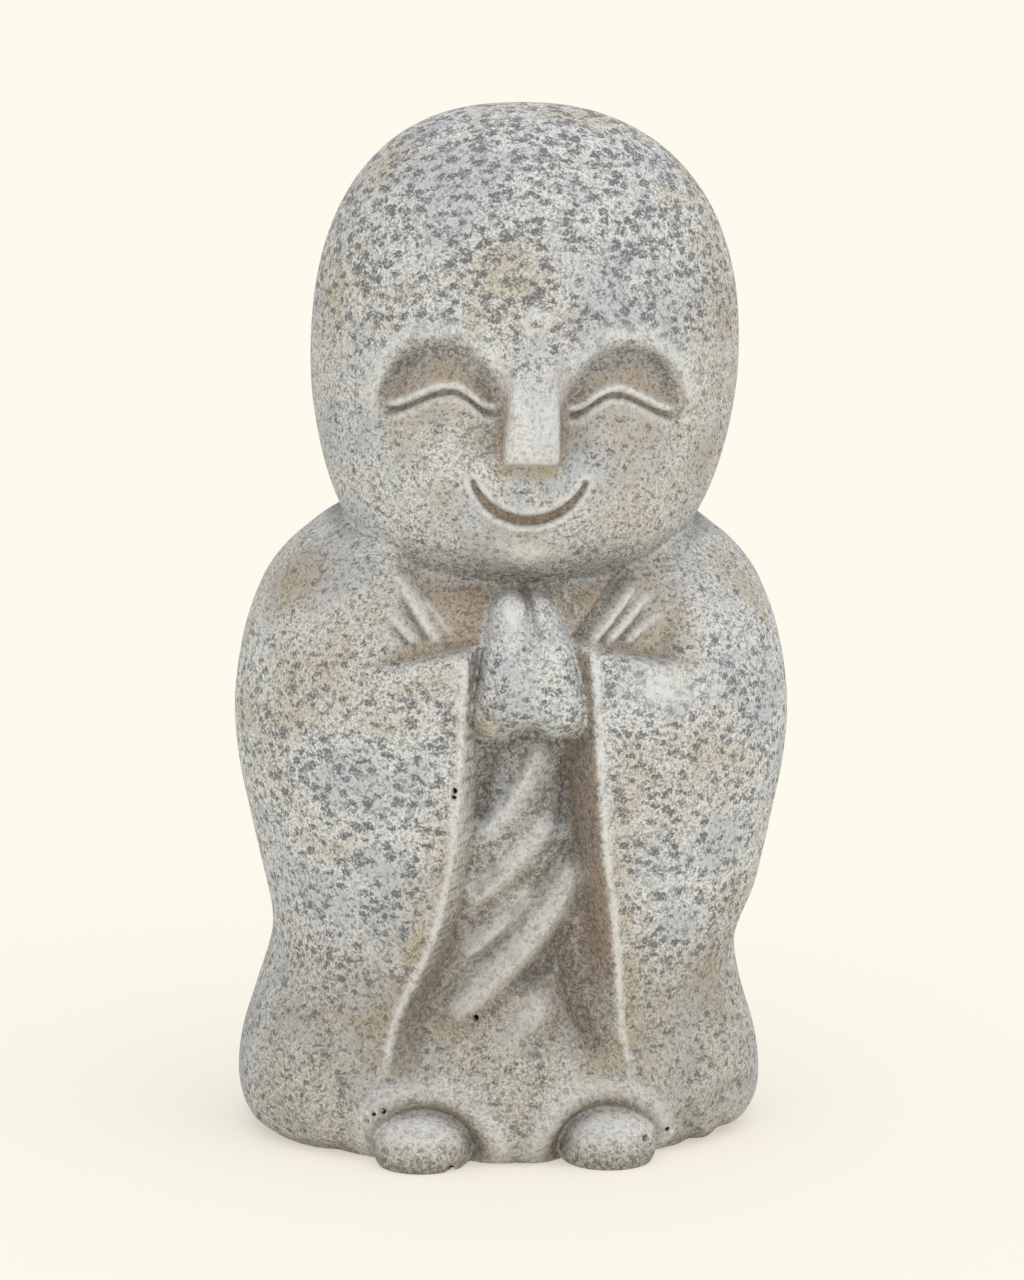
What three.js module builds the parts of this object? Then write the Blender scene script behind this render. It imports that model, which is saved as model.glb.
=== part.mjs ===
// A small stone jizo: a round-headed monk child in a wide-sleeved robe, palms together, cast in one piece.
// Millimetres, +Z up. The statue faces -Y and stands on z = 0, with the origin under the middle of its box.
// One function gives the depth of any point inside or outside the stone; the surface is where it is zero.
import * as THREE from "three";
import { SimplifyModifier } from "three/addons/modifiers/SimplifyModifier.js";

// ---- Driving dimensions ----
const HEIGHT = 300; // ground to crown
const HEAD_WIDTH = 124.8;
const HEAD_DEPTH = 114;
const HEAD_HEIGHT = 142; // crown to the underside of the chin
const SLEEVE_WIDTH = 162.8; // across both sleeves, the widest place
const WAIST_WIDTH = 141.2; // where the sleeves meet the skirt
const HEM_WIDTH = 154.8;
const HEM_SHIFT = -3.6; // the skirt stands a little to the figure's right
const BODY_DEPTH = 120;
const HEAD_TURN = THREE.MathUtils.degToRad(1.6); // the face looks a little to the figure's right
const HEAD_ROLL = THREE.MathUtils.degToRad(1.2); // and leans a little to its left

// ---- Small tools ----
const clamp = (v, low, high) => Math.min(Math.max(v, low), high);
const ease = (from, to, v) => {
  const t = clamp((v - from) / (to - from), 0, 1);
  return t * t * (3 - 2 * t);
};
const bell = (offset, width) => Math.exp(-((offset / width) ** 2));
const softMin = (a, b, fillet) => {
  const h = Math.max(fillet - Math.abs(a - b), 0) / fillet;
  return Math.min(a, b) - (h * h * fillet) / 4;
};
const softMax = (a, b, fillet) => -softMin(-a, -b, fillet);

// A smooth curve of value against height through a few [height, value] pairs.
function profile(pairs) {
  const last = pairs.length - 1;
  const slope = (i) => {
    const before = pairs[Math.max(i - 1, 0)];
    const after = pairs[Math.min(i + 1, last)];
    return (after[1] - before[1]) / (after[0] - before[0]);
  };
  return (height) => {
    const h = clamp(height, pairs[0][0], pairs[last][0]);
    let i = 0;
    while (i < last - 1 && h > pairs[i + 1][0]) i++;
    const [h0, v0] = pairs[i];
    const [h1, v1] = pairs[i + 1];
    const span = h1 - h0;
    const t = (h - h0) / span;
    const rise = (v1 - v0) * t * t * (3 - 2 * t);
    const start = slope(i) * span * t * (1 - t) * (1 - t);
    const end = slope(i + 1) * span * t * t * (t - 1);
    return v0 + rise + start + end;
  };
}

// How far (x, z) lies to one side of a carved line, and how far along it, from 0 to 1.
function alongLine(x, z, line) {
  const [x0, z0] = line.from;
  const [x1, z1] = line.to;
  const length = Math.hypot(x1 - x0, z1 - z0);
  const ux = (x1 - x0) / length;
  const uz = (z1 - z0) / length;
  const along = ((x - x0) * ux + (z - z0) * uz) / length;
  const t = clamp(along, 0, 1);
  const side = (x - x0) * -uz + (z - z0) * ux - line.bow * 4 * t * (1 - t);
  return { side, along };
}

// Height of a fold: a rounded ridge (positive) or furrow (negative) along a line, fading out at both ends. A lap
// makes its upper slope gentler or steeper than its lower one.
function fold(x, z, line) {
  const { side, along } = alongLine(x, z, line);
  const fade = ease(-0.12, 0.12, along) * (1 - ease(0.88, 1.12, along));
  const width = side > 0 ? line.width * (line.lap ?? 1) : line.width;
  return line.height * bell(side, width) * fade;
}

// Distance of a point to the right of a line that runs upwards.
function sideOf(x, z, line) {
  const [x0, z0] = line.from;
  const [x1, z1] = line.to;
  return ((x - x0) * (z1 - z0) - (z - z0) * (x1 - x0)) / Math.hypot(x1 - x0, z1 - z0);
}

// ---- Head: an egg, broad above, rounded to a full chin in front and narrower to the nape behind ----
const head = {
  x: profile([[165, 2.2], [190, 2.7], [207, 3.2], [228, 3.6], [262, 3.2], [284, 2.2], [HEIGHT + 2, 0.6]]),
  y: -1,
  z: HEIGHT - 72, // height of its widest place
  halfWidth: HEAD_WIDTH / 2,
  halfDepth: HEAD_DEPTH / 2,
  up: 72,
  down: HEAD_HEIGHT - 72,
  planPower: 2.12,
  upPower: 2.34,
  downPower: 2.03,
  chinPower: 3.4,
  chinFrom: -40, // how far forward the full chin begins
};
const FACE_MIDDLE = 215; // height that the face turns and rolls about
const socket = { x: 26.2, z: 213.5, halfWidth: 18.6, height: 20.8, rim: 0.24, depth: 5, bottom: 196 };
const lidSwell = { x: 26, z: 220, halfWidth: 14, halfHeight: 6, height: 2 };
const eyelid = { inner: 10.6, outer: 40.6, crest: 22.8, z: 212.8, rise: 5.8 };
const lidEdge = { height: 1, above: 1.5, width: 1.1, groove: 1.5, below: 0.3, grooveWidth: 0.9 };
const nose = { top: 231, tip: 199.6, bridge: 6, foot: 7.6, wallTop: 6, wallTip: 1.8, height: 6, bevel: 1.6 };
const besideNose = { depth: 2.6, out: 3, width: 5.5, from: 196, full: 206, fade: 216, top: 228 };
const mouth = { z: 199.8, radius: 16.9, reach: THREE.MathUtils.degToRad(69), halfWidth: 1.75, depth: 2.2 };
const urna = { z: 238.2, radius: 3.6, height: 0.7 };
const chin = { z: 173.2, halfWidth: 8, halfHeight: 4, height: 1.5 };

// A point as the face sees it: x across the face, y front to back, z up it.
function facePlace(x, y, z) {
  const offX = x - head.x(z);
  const offY = y - head.y;
  const turnedX = offX * Math.cos(HEAD_TURN) - offY * Math.sin(HEAD_TURN);
  const turnedY = offX * Math.sin(HEAD_TURN) + offY * Math.cos(HEAD_TURN);
  return [turnedX - (z - FACE_MIDDLE) * HEAD_ROLL, turnedY, z + turnedX * HEAD_ROLL];
}

// The closed eye: the lid's edge stands out over a fine groove.
function eyelidRelief(side, z) {
  const reach = side < eyelid.crest ? eyelid.crest - eyelid.inner : eyelid.outer - eyelid.crest;
  const t = clamp((side - eyelid.crest) / reach, -1, 1);
  const above = z - eyelid.z - eyelid.rise * (0.5 + 0.5 * Math.cos(Math.PI * t));
  const fade =
    ease(eyelid.inner - 2, eyelid.inner + 1.5, side) * (1 - ease(eyelid.outer - 3, eyelid.outer + 1.5, side));
  const edge = lidEdge.height * bell(above - lidEdge.above, lidEdge.width);
  const groove = lidEdge.groove * bell(above + lidEdge.below, lidEdge.grooveWidth);
  return fade * (edge - groove);
}

// The hollow under the brow, 0 to 1: steep at the brow's arch, fading out on the cheek.
function socketHollow(side, z) {
  const arch = Math.hypot((side - socket.x) / socket.halfWidth, Math.max(z - socket.z, 0) / socket.height);
  return ease(socket.bottom, socket.z + 12, z) * (1 - ease(1 - socket.rim, 1, arch));
}

// How far across the nose's flat ridge a point is, 0 to 1, and the nose's half width there.
function noseAt(side, z) {
  const half = nose.bridge + (nose.foot - nose.bridge) * ease(nose.top, nose.tip, z);
  const wall = nose.wallTop + (nose.wallTip - nose.wallTop) * ease(nose.top - 4, nose.top - 15, z);
  const across = 1 - ease(half - wall * 0.4, half + wall * 0.6, side);
  return { half, on: across * ease(nose.tip - nose.bevel, nose.tip + 0.2, z) };
}

// The smile: a round-bottomed groove along an arc.
function mouthGroove(x, z) {
  const angle = clamp(Math.atan2(x, mouth.z - z), -mouth.reach, mouth.reach);
  const taper = (angle / mouth.reach) ** 2;
  const away = Math.hypot(x - mouth.radius * Math.sin(angle), z - mouth.z + mouth.radius * Math.cos(angle));
  const half = mouth.halfWidth * (1 - 0.55 * taper);
  return mouth.depth * (1 - ease(0.35, 1.2, away / half)) * (1 - 0.4 * taper);
}

// How far the face stands out (positive) or is cut back (negative) at (x, z), seen from the front.
function faceRelief(x, z) {
  const side = Math.abs(x);
  const { half, on } = noseAt(side, z);
  const swell = Math.hypot((side - lidSwell.x) / lidSwell.halfWidth, (z - lidSwell.z) / lidSwell.halfHeight);
  const beside =
    bell(side - half - besideNose.out, besideNose.width) *
    ease(besideNose.from, besideNose.full, z) *
    (1 - ease(besideNose.fade, besideNose.top, z));
  const lid = lidSwell.height * bell(swell, 1);
  const hollows = (lid - socket.depth * socketHollow(side, z) - besideNose.depth * beside) * (1 - on);
  const noseRise = nose.height * on * ease(nose.top, nose.tip + 6, z);
  const chinBump = chin.height * bell(Math.hypot(x / chin.halfWidth, (z - chin.z) / chin.halfHeight), 1);
  const urnaBump = urna.height * (1 - ease(urna.radius - 1.6, urna.radius, Math.hypot(x, z - urna.z)));
  return noseRise + hollows + eyelidRelief(side, z) - mouthGroove(x, z) + chinBump + urnaBump;
}

function headDepth(x, y, z) {
  const [faceX, faceY, faceZ] = facePlace(x, y, z);
  const above = z > head.z;
  const lowerPower = head.downPower + (head.chinPower - head.downPower) * ease(0, head.chinFrom, faceY);
  const power = above ? head.upPower : lowerPower;
  const plan = Math.pow(
    Math.abs(faceX / head.halfWidth) ** head.planPower + Math.abs(faceY / head.halfDepth) ** head.planPower,
    1 / head.planPower,
  );
  const rise = Math.abs(z - head.z) / (above ? head.up : head.down);
  const gauge = Math.max(Math.pow(plan ** power + rise ** power, 1 / power), 1e-6);
  const reach = Math.hypot(faceX, faceY, z - head.z);
  return reach * (1 - 1 / gauge) - faceRelief(faceX, faceZ) * ease(0, -head.halfDepth * 0.45, faceY);
}

// ---- Robe and sleeves: one loft whose half width and half depths follow the height ----
const SLEEVE_HALF = SLEEVE_WIDTH / 2;
const WAIST_HALF = WAIST_WIDTH / 2;
const HEM_HALF = HEM_WIDTH / 2;
const FRONT = BODY_DEPTH / 2 + 1;
const BACK = BODY_DEPTH / 2 - 1;
const halfWidth = profile([
  [0, HEM_HALF - 8],
  [4, HEM_HALF - 3],
  [12, HEM_HALF],
  [26, HEM_HALF - 1],
  [42, HEM_HALF - 5.4],
  [55, WAIST_HALF],
  [66, WAIST_HALF + 0.8],
  [90, SLEEVE_HALF - 5],
  [110, SLEEVE_HALF - 1],
  [127, SLEEVE_HALF],
  [145, SLEEVE_HALF - 2.5],
  [158, SLEEVE_HALF - 6.6],
  [168, SLEEVE_HALF - 12],
  [177, SLEEVE_HALF - 21],
  [186, SLEEVE_HALF - 36],
  [198, 2],
]);
const frontDepth = profile([
  [0, FRONT - 10],
  [4, FRONT - 6],
  [11, FRONT - 3.5],
  [24, FRONT - 3.5],
  [40, FRONT - 5],
  [56, FRONT - 4],
  [76, FRONT - 2.5],
  [100, FRONT - 0.5],
  [122, FRONT],
  [145, FRONT - 1.5],
  [157, FRONT - 6.5],
  [168, FRONT - 14],
  [180, FRONT - 24],
  [198, 2],
]);
const backDepth = profile([
  [0, BACK - 8],
  [4, BACK - 4],
  [12, BACK - 1],
  [26, BACK - 1.5],
  [42, BACK - 5],
  [56, BACK - 6.5],
  [76, BACK - 4],
  [100, BACK - 1],
  [125, BACK],
  [145, BACK - 2],
  [160, BACK - 7],
  [172, BACK - 14],
  [184, BACK - 25],
  [198, 2],
]);
const PLAN_POWER = 2.3;
const ROBE_TOP = 196; // inside the head
const SHIFT_FROM = 38; // the skirt's shift fades out between these heights
const SHIFT_TO = 74;

// The opening between the sleeves, from the wrists down to their tips, and the robe that lies back in it.
const channel = {
  left: profile([[22, 36], [42, 31.6], [53, 28], [66, 24.4], [89, 20], [108, 18.2], [128, 17], [150, 16]]),
  right: profile([[22, 33], [36, 30], [46, 28.6], [66, 24.4], [85, 21.5], [108, 19.5], [128, 18.4], [150, 17]]),
  depth: profile([
    [20, 0],
    [30, 3.5],
    [42, 8],
    [58, 11.5],
    [78, 14],
    [100, 15.2],
    [120, 14.4],
    [132, 10],
    [150, 7],
  ]),
  leftWall: { lowWidth: 8, highWidth: 3.6 },
  rightWall: { lowWidth: 8.5, highWidth: 6.6 },
  steepening: { from: 30, to: 100 }, // both walls grow steeper towards the wrists
  brow: 0.7, // how far outside its edge the wall begins to turn in
  lip: { height: 1.1, out: 1.2, width: 2.1, from: 26, to: 40 }, // the sleeves' edges stand a little proud
  ceiling: { from: 124, to: 132 }, // the robe's folds end under the hands
};
// The chest lies back above the forearms, most of all between the collar's two inner edges.
const chest = {
  left: { from: [-24, 147.5], to: [-34.9, 168.6] },
  right: { from: [14.3, 146.4], to: [30.1, 167.2] },
  middle: 2,
  step: 1.6,
  depth: 2.4,
  shelf: 9.5,
  halfWidth: 31,
  outer: 48,
  top: 160,
  fade: 184,
};
const forearm = { z: 147.6, fall: 0.2, step: 3, level: 14, blend: 6 };
const valley = { from: [31, 30], to: [76, 62], bow: -2, width: 9, height: -2.6 };

// Folds of the robe between the sleeves, from the figure's right below to its left above.
const robeFolds = [
  { from: [-13, 93], to: [4.1, 119], bow: -2.2, width: 4.4, height: 3.4, lap: 0.5 },
  { from: [-15.6, 74], to: [7.5, 96], bow: -1.6, width: 2.4, height: 3.2, lap: 1.8 },
  { from: [-15.5, 58], to: [3, 77], bow: -1.2, width: 2, height: 2.2, lap: 2 },
  { from: [-15, 42], to: [14.4, 81], bow: -2.8, width: 2.6, height: 4.2, lap: 1.9 },
  { from: [-7.5, 27], to: [9.5, 46], bow: -1, width: 3.6, height: 2, lap: 1.6 },
  { from: [-12.6, 97], to: [-8.8, 116], bow: 0.8, width: 2.2, height: -2.6 },
  { from: [11.4, 96], to: [12.6, 116], bow: -0.4, width: 2.2, height: -2.6 },
  { from: [-4, 68.5], to: [13.6, 90], bow: -1.2, width: 2, height: -3 },
  { from: [2, 49], to: [13.8, 66], bow: -0.8, width: 2.6, height: -3.4 },
  { from: [24.4, 30.6], to: [13.6, 60], bow: 1.6, width: 2.2, height: -3.2 },
];
// Pleats of the collar, fanned from the shoulders to the wrists.
const collarFolds = [
  { from: [-24.3, 148.5], to: [-35.6, 167.4], bow: 0.5, width: 1.7, height: 3 },
  { from: [-30.5, 148], to: [-40.5, 160.7], bow: 0.4, width: 1.4, height: 2.7 },
  { from: [-35.6, 147.2], to: [-43, 154.5], bow: 0, width: 1.3, height: 1.8 },
  { from: [13.4, 146], to: [30, 167.4], bow: -0.4, width: 1.5, height: -3.6 },
  { from: [18.8, 148], to: [31.6, 162.4], bow: -0.3, width: 1.3, height: 2.4 },
  { from: [23.8, 148.2], to: [36, 160.6], bow: -0.3, width: 1.2, height: 2.2 },
  { from: [29.2, 147.8], to: [39.4, 156.2], bow: -0.2, width: 1.2, height: 1.8 },
  { from: [40, 144], to: [45.4, 157], bow: 1.6, width: 1.8, height: -1.8 },
];
// Notches where the hem's folds meet the ground.
const hemNotches = [
  { from: [53.5, -3], to: [51, 12], bow: 0, width: 2.8, height: -2.6 },
  { from: [63, -2], to: [61, 16], bow: 0, width: 2.6, height: -2 },
  { from: [-50, -3], to: [-47, 11], bow: 0, width: 3.6, height: -1.8 },
  { from: [-6, 12], to: [-14, 34], bow: 1.5, width: 4, height: -1.4 },
];
const apron = { x: 2, halfWidth: 15, z: 8, halfHeight: 20, height: 4.6 }; // the hem's bulge between the feet

// Distance outwards from the edge of the opening between the sleeves.
const pastSleeveEdge = (x, z) => (x < 0 ? -x - channel.left(z) : x - channel.right(z));

// 1 over the recessed chest above the forearms, 0 off it.
function chestAt(x, z) {
  const side = Math.abs(x - chest.middle);
  const sleeveTop = forearm.z - forearm.fall * Math.max(side - forearm.level, 0);
  const above = ease(sleeveTop - forearm.step / 2, sleeveTop + forearm.step / 2, z);
  return above * (1 - ease(chest.halfWidth, chest.outer, side)) * (1 - ease(chest.top, chest.fade, z));
}

// How far the front of the robe stands out (positive) or is cut back (negative) at (x, z).
function robeRelief(x, z) {
  const past = pastSleeveEdge(x, z);
  const belowWrist = 1 - ease(forearm.z - forearm.blend, forearm.z, z);
  const { steepening, lip, ceiling } = channel;
  const wall = x < 0 ? channel.leftWall : channel.rightWall;
  const steep = ease(steepening.from, steepening.to, z);
  const wallWidth = wall.lowWidth + (wall.highWidth - wall.lowWidth) * steep;
  const opening = 1 - ease(-wallWidth, channel.brow, past);
  const onChest = chestAt(x, z);
  const pastLeft = ease(0, chest.step, sideOf(x, z, chest.left));
  const inCollar = pastLeft * ease(0, chest.step, -sideOf(x, z, chest.right));
  const shelf = (chest.shelf + chest.depth * inCollar) * onChest;
  const onFloor = ease(0.6, 1, opening) * (1 - ease(ceiling.from, ceiling.to, z));
  const bulge = Math.hypot((x - apron.x) / apron.halfWidth, (z - apron.z) / apron.halfHeight);
  let relief = lip.height * bell(past - lip.out, lip.width) * belowWrist * ease(lip.from, lip.to, z);
  relief -= Math.max(channel.depth(z) * opening, shelf);
  relief += apron.height * bell(bulge, 1);
  relief += fold(Math.abs(x), z, valley);
  for (const line of robeFolds) relief += fold(x, z, line) * onFloor;
  for (const line of collarFolds) relief += fold(x, z, line) * onChest;
  for (const line of hemNotches) relief += fold(x, z, line);
  return relief;
}

// Soft drapery round the sides and back of the skirt, and the valley under the sleeves.
const skirt = { count: 7, height: 0.8, top: 60, seamZ: 56, seamRise: 20, seamWidth: 10, seamDepth: 1.2 };

function robeDepth(x, y, z) {
  const offX = x - HEM_SHIFT * (1 - ease(SHIFT_FROM, SHIFT_TO, z));
  const front = ease(6, -14, y);
  const depth = y < 0 ? frontDepth(z) : backDepth(z);
  const plan = Math.abs(offX / halfWidth(z)) ** PLAN_POWER + Math.abs(y / depth) ** PLAN_POWER;
  const gauge = Math.max(Math.pow(plan, 1 / PLAN_POWER), 1e-6);
  const around = Math.atan2(offX, -y);
  const ripple = skirt.height * Math.cos(skirt.count * around) * (1 - ease(8, skirt.top, z));
  const seamZ = skirt.seamZ + skirt.seamRise * ease(0.5, 1, Math.abs(around) / Math.PI);
  const seam = skirt.seamDepth * bell(z - seamZ, skirt.seamWidth);
  const relief = robeRelief(offX, z) * front + (ripple - seam) * (1 - front);
  return Math.max(Math.hypot(offX, y) * (1 - 1 / gauge) - relief, z - ROBE_TOP);
}

// ---- Hands, palms together: one loft with a cleft down the front, deepest between the fingertips ----
const hands = {
  x: profile([[121.5, 0.9], [147, 0.9], [163, -0.7]]),
  y: -44,
  power: 2.5,
  bottom: 121.5,
  top: 162,
  halfWidth: profile([
    [121.5, 18],
    [127, 20.5],
    [134, 18.6],
    [141, 15.6],
    [147, 13.2],
    [153, 11],
    [158, 9.2],
    [163, 7.4],
  ]),
  halfDepth: profile([[121.5, 15], [127, 18.2], [134, 19.4], [141, 19], [148, 16.8], [155, 14], [163, 9.6]]),
  round: 3.4,
  cleft: profile([[121.5, 2.4], [126, 1.4], [134, 0.9], [144, 1.5], [152, 2.6], [163, 4.2]]),
  cleftX: profile([[121.5, -0.6], [140, 0.4], [152, 1], [163, 1.3]]),
  cleftWidth: profile([[121.5, 5], [130, 4.2], [150, 2], [163, 1.3]]),
  cusp: { height: 3.4, width: 5 }, // the underside rises in the middle
  tips: { depth: 2.4, width: 1.8 }, // the fingertips are two domes
};

function handsDepth(x, y, z) {
  const offX = x - hands.x(z);
  const offY = y - hands.y;
  const across = Math.abs(offX / hands.halfWidth(z)) ** hands.power;
  const plan = across + Math.abs(offY / hands.halfDepth(z)) ** hands.power;
  const gauge = Math.max(Math.pow(plan, 1 / hands.power), 1e-6);
  const fromCleft = offX - hands.cleftX(z);
  const cleft = offY < 0 ? hands.cleft(z) * bell(fromCleft, hands.cleftWidth(z)) : 0;
  const sides = Math.hypot(offX, offY) * (1 - 1 / gauge) + cleft;
  const lowEdge = hands.bottom + hands.cusp.height * bell(fromCleft, hands.cusp.width) - z;
  const highEdge = z - hands.top + hands.tips.depth * bell(fromCleft, hands.tips.width);
  return softMax(softMax(sides, lowEdge, hands.round * 2), highEdge, hands.round * 1.4);
}

// ---- Feet: two rounded toes under arches in the hem ----
const foot = { left: -29.6, right: 23.6, y: -52.5, z: 4.5, radii: [13.8, 14.5, 10] };
const hemArch = { y: -60, z: 1, radii: [17.6, 13, 17], lip: 1.9, lipOut: 3.2, lipWidth: 4.2 };

function eggDepth(x, y, z, egg) {
  const middle = x < (foot.left + foot.right) / 2 ? foot.left : foot.right;
  const off = [x - middle, y - egg.y, z - egg.z];
  const gauge = Math.hypot(...off.map((v, i) => v / egg.radii[i]));
  return Math.hypot(...off) * (1 - 1 / Math.max(gauge, 1e-6));
}

// ---- The whole figure: negative inside the stone ----
const HEM_TOP = 32; // nothing of the feet or their arches reaches higher
const NECK_FILLET = 3;
const WRIST_FILLET = 2.6;
const ARCH_FILLET = 1.6;
const TOE_FILLET = 1.2;

function stoneDepth(x, y, z) {
  let depth = robeDepth(x, y, z);
  if (z < HEM_TOP) {
    const archGap = eggDepth(x, y, z, hemArch);
    const lip = hemArch.lip * bell(archGap - hemArch.lipOut, hemArch.lipWidth) * ease(0, -30, y);
    depth = softMax(depth - lip * (1 - ease(18, 30, z)), -archGap, ARCH_FILLET);
    depth = softMin(depth, eggDepth(x, y, z, foot), TOE_FILLET);
  }
  depth = softMin(depth, handsDepth(x, y, z), WRIST_FILLET);
  return softMin(depth, headDepth(x, y, z), NECK_FILLET);
}

// The outermost place where a ray from inside the stone leaves it.
function surfaceFrom(start, way) {
  const FAR = 96;
  const STEP = 1.5;
  const depthAt = (r) => stoneDepth(start.x + way.x * r, start.y + way.y * r, start.z + way.z * r);
  let outer = FAR;
  while (outer > STEP && depthAt(outer - STEP) > 0) outer -= STEP;
  let inner = outer - STEP;
  for (let i = 0; i < 16; i++) {
    const middle = (inner + outer) / 2;
    if (depthAt(middle) > 0) outer = middle;
    else inner = middle;
  }
  return start.clone().addScaledVector(way, inner);
}

// ---- The figure's skin: rings of points from the crown to the ground, then thinned where it is smooth ----
const COLUMNS = 150;
const FRONT_CROWDING = 2.2; // how much closer the columns stand in front than behind
const CROWN_RINGS = 24;
const CROWN_START = 250; // rays fan out above this height and run level below it
const BANDS = [
  [240, 5], // [height that the band of rings reaches down to, rings in it]
  [166, 60],
  [121, 34],
  [30, 52],
  [0, 24],
];
const TRIANGLES = 9400;

function columnAngle(i) {
  const s = (2 * i) / COLUMNS - 1;
  return (Math.PI * (s + FRONT_CROWDING * s ** 3)) / (1 + FRONT_CROWDING);
}

function skinRings() {
  const rings = [];
  for (let ring = 1; ring <= CROWN_RINGS; ring++) {
    const tilt = ((Math.PI / 2) * ring) / CROWN_RINGS;
    rings.push({ z: CROWN_START, out: Math.sin(tilt), up: Math.cos(tilt) });
  }
  let z = CROWN_START;
  for (const [bottom, count] of BANDS) {
    const gap = (z - bottom) / count;
    for (let ring = 1; ring <= count; ring++) rings.push({ z: z - gap * ring, out: 1, up: 0 });
    z = bottom;
  }
  return rings;
}

function skinGeometry() {
  const rings = skinRings();
  const spine = (z) => new THREE.Vector3(0, head.y, z);
  const points = [surfaceFrom(spine(CROWN_START), new THREE.Vector3(0, 0, 1))];
  for (const { z, out, up } of rings) {
    for (let i = 0; i < COLUMNS; i++) {
      const angle = columnAngle(i);
      const way = new THREE.Vector3(out * Math.sin(angle), -out * Math.cos(angle), up);
      points.push(surfaceFrom(spine(z), way));
    }
  }
  points.push(spine(0));
  const at = (ring, i) => 1 + ring * COLUMNS + (i % COLUMNS);
  const faces = [];
  for (let i = 0; i < COLUMNS; i++) {
    faces.push(0, at(0, i), at(0, i + 1));
    for (let ring = 0; ring < rings.length - 1; ring++) {
      const [a, b, c, d] = [at(ring, i), at(ring, i + 1), at(ring + 1, i + 1), at(ring + 1, i)];
      const slant = points[a].distanceTo(points[c]) < points[b].distanceTo(points[d]);
      faces.push(...(slant ? [a, d, c, a, c, b] : [a, d, b, b, d, c]));
    }
    faces.push(at(rings.length - 1, i), points.length - 1, at(rings.length - 1, i + 1));
  }
  return new THREE.BufferGeometry().setFromPoints(points).setIndex(faces);
}

async function thinned(geometry) {
  const share = (geometry.index.count / 3 - TRIANGLES) / (geometry.index.count / 3);
  return new SimplifyModifier().modify(geometry, Math.round(geometry.attributes.position.count * share));
}

// Sets the origin on the ground under the middle of the box.
function settle(geometry) {
  geometry.computeBoundingBox();
  const middle = geometry.boundingBox.getCenter(new THREE.Vector3());
  geometry.translate(-middle.x, -middle.y, -geometry.boundingBox.min.z);
  return geometry;
}

const stone = new THREE.MeshStandardMaterial({ color: 0xb9b8ad, roughness: 0.92, metalness: 0 });

const statue = new THREE.Mesh(settle(await thinned(skinGeometry())), stone);
statue.name = "statue";

const jizo = new THREE.Group();
jizo.add(statue);

export default jizo;
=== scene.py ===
import math
import bmesh
import bpy
import numpy as np
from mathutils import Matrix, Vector


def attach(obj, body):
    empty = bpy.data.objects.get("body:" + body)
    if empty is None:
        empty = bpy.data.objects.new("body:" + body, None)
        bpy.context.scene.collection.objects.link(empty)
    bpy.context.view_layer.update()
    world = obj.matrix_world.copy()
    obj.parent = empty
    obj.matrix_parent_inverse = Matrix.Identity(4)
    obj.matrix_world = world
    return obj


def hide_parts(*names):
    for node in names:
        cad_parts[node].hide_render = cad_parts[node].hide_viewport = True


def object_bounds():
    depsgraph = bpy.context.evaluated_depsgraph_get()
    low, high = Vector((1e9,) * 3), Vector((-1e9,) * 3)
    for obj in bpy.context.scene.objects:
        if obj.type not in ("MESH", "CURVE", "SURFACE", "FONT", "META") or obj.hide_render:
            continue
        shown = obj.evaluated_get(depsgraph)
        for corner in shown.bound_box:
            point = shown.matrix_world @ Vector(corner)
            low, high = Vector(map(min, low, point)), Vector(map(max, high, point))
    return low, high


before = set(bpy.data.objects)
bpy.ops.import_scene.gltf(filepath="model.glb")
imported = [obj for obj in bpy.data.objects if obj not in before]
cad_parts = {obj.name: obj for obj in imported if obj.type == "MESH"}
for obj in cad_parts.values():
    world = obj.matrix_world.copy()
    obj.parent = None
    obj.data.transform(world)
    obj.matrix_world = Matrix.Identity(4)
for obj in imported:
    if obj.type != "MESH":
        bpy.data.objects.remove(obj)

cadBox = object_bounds()
boxLow, boxHigh = (Vector(corner) for corner in cadBox)
boxMiddle = (boxLow + boxHigh) / 2
statueHeight = boxHigh.z - boxLow.z
mm = statueHeight / 300           # the carving below is laid out for a figure 300 high
print("frame: box %.1f x %.1f x %.1f mm" % tuple((boxHigh - boxLow) * 1000))


# ---- camera, lights, floor

view = {
    "turn": -4.5,                 # degrees round from straight ahead, towards the figure's right hand
    "distance": 1000, "height": 265, "aim": 143.5,
    "lens": 96.3,
}
studio = {
    "cream": (0.996, 0.952, 0.852), "floorSize": 8, "floorGlow": 0.45,
    "lampFrom": (0.3, -0.6, 1.1), "lampPower": 0.8,
    "lampSoftness": 80,           # degrees of sky that the lamp covers
}


def makeCamera():
    data = bpy.data.cameras.new("portraitCamera")
    data.lens = view["lens"]
    camera = bpy.data.objects.new("portraitCamera", data)
    bpy.context.collection.objects.link(camera)
    turn = math.radians(view["turn"])
    away = view["distance"] * mm
    camera.location = (away * math.sin(turn), -away * math.cos(turn), view["height"] * mm)
    aim = Vector((0, 0, view["aim"] * mm))
    camera.rotation_euler = (aim - camera.location).to_track_quat("-Z", "Y").to_euler()
    bpy.context.scene.camera = camera


def softLamp():
    data = bpy.data.lights.new("softLamp", "SUN")
    data.energy = studio["lampPower"]
    data.angle = math.radians(studio["lampSoftness"])
    lamp = bpy.data.objects.new("softLamp", data)
    lamp.rotation_euler = (-Vector(studio["lampFrom"])).to_track_quat("-Z", "Y").to_euler()
    bpy.context.collection.objects.link(lamp)


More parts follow.
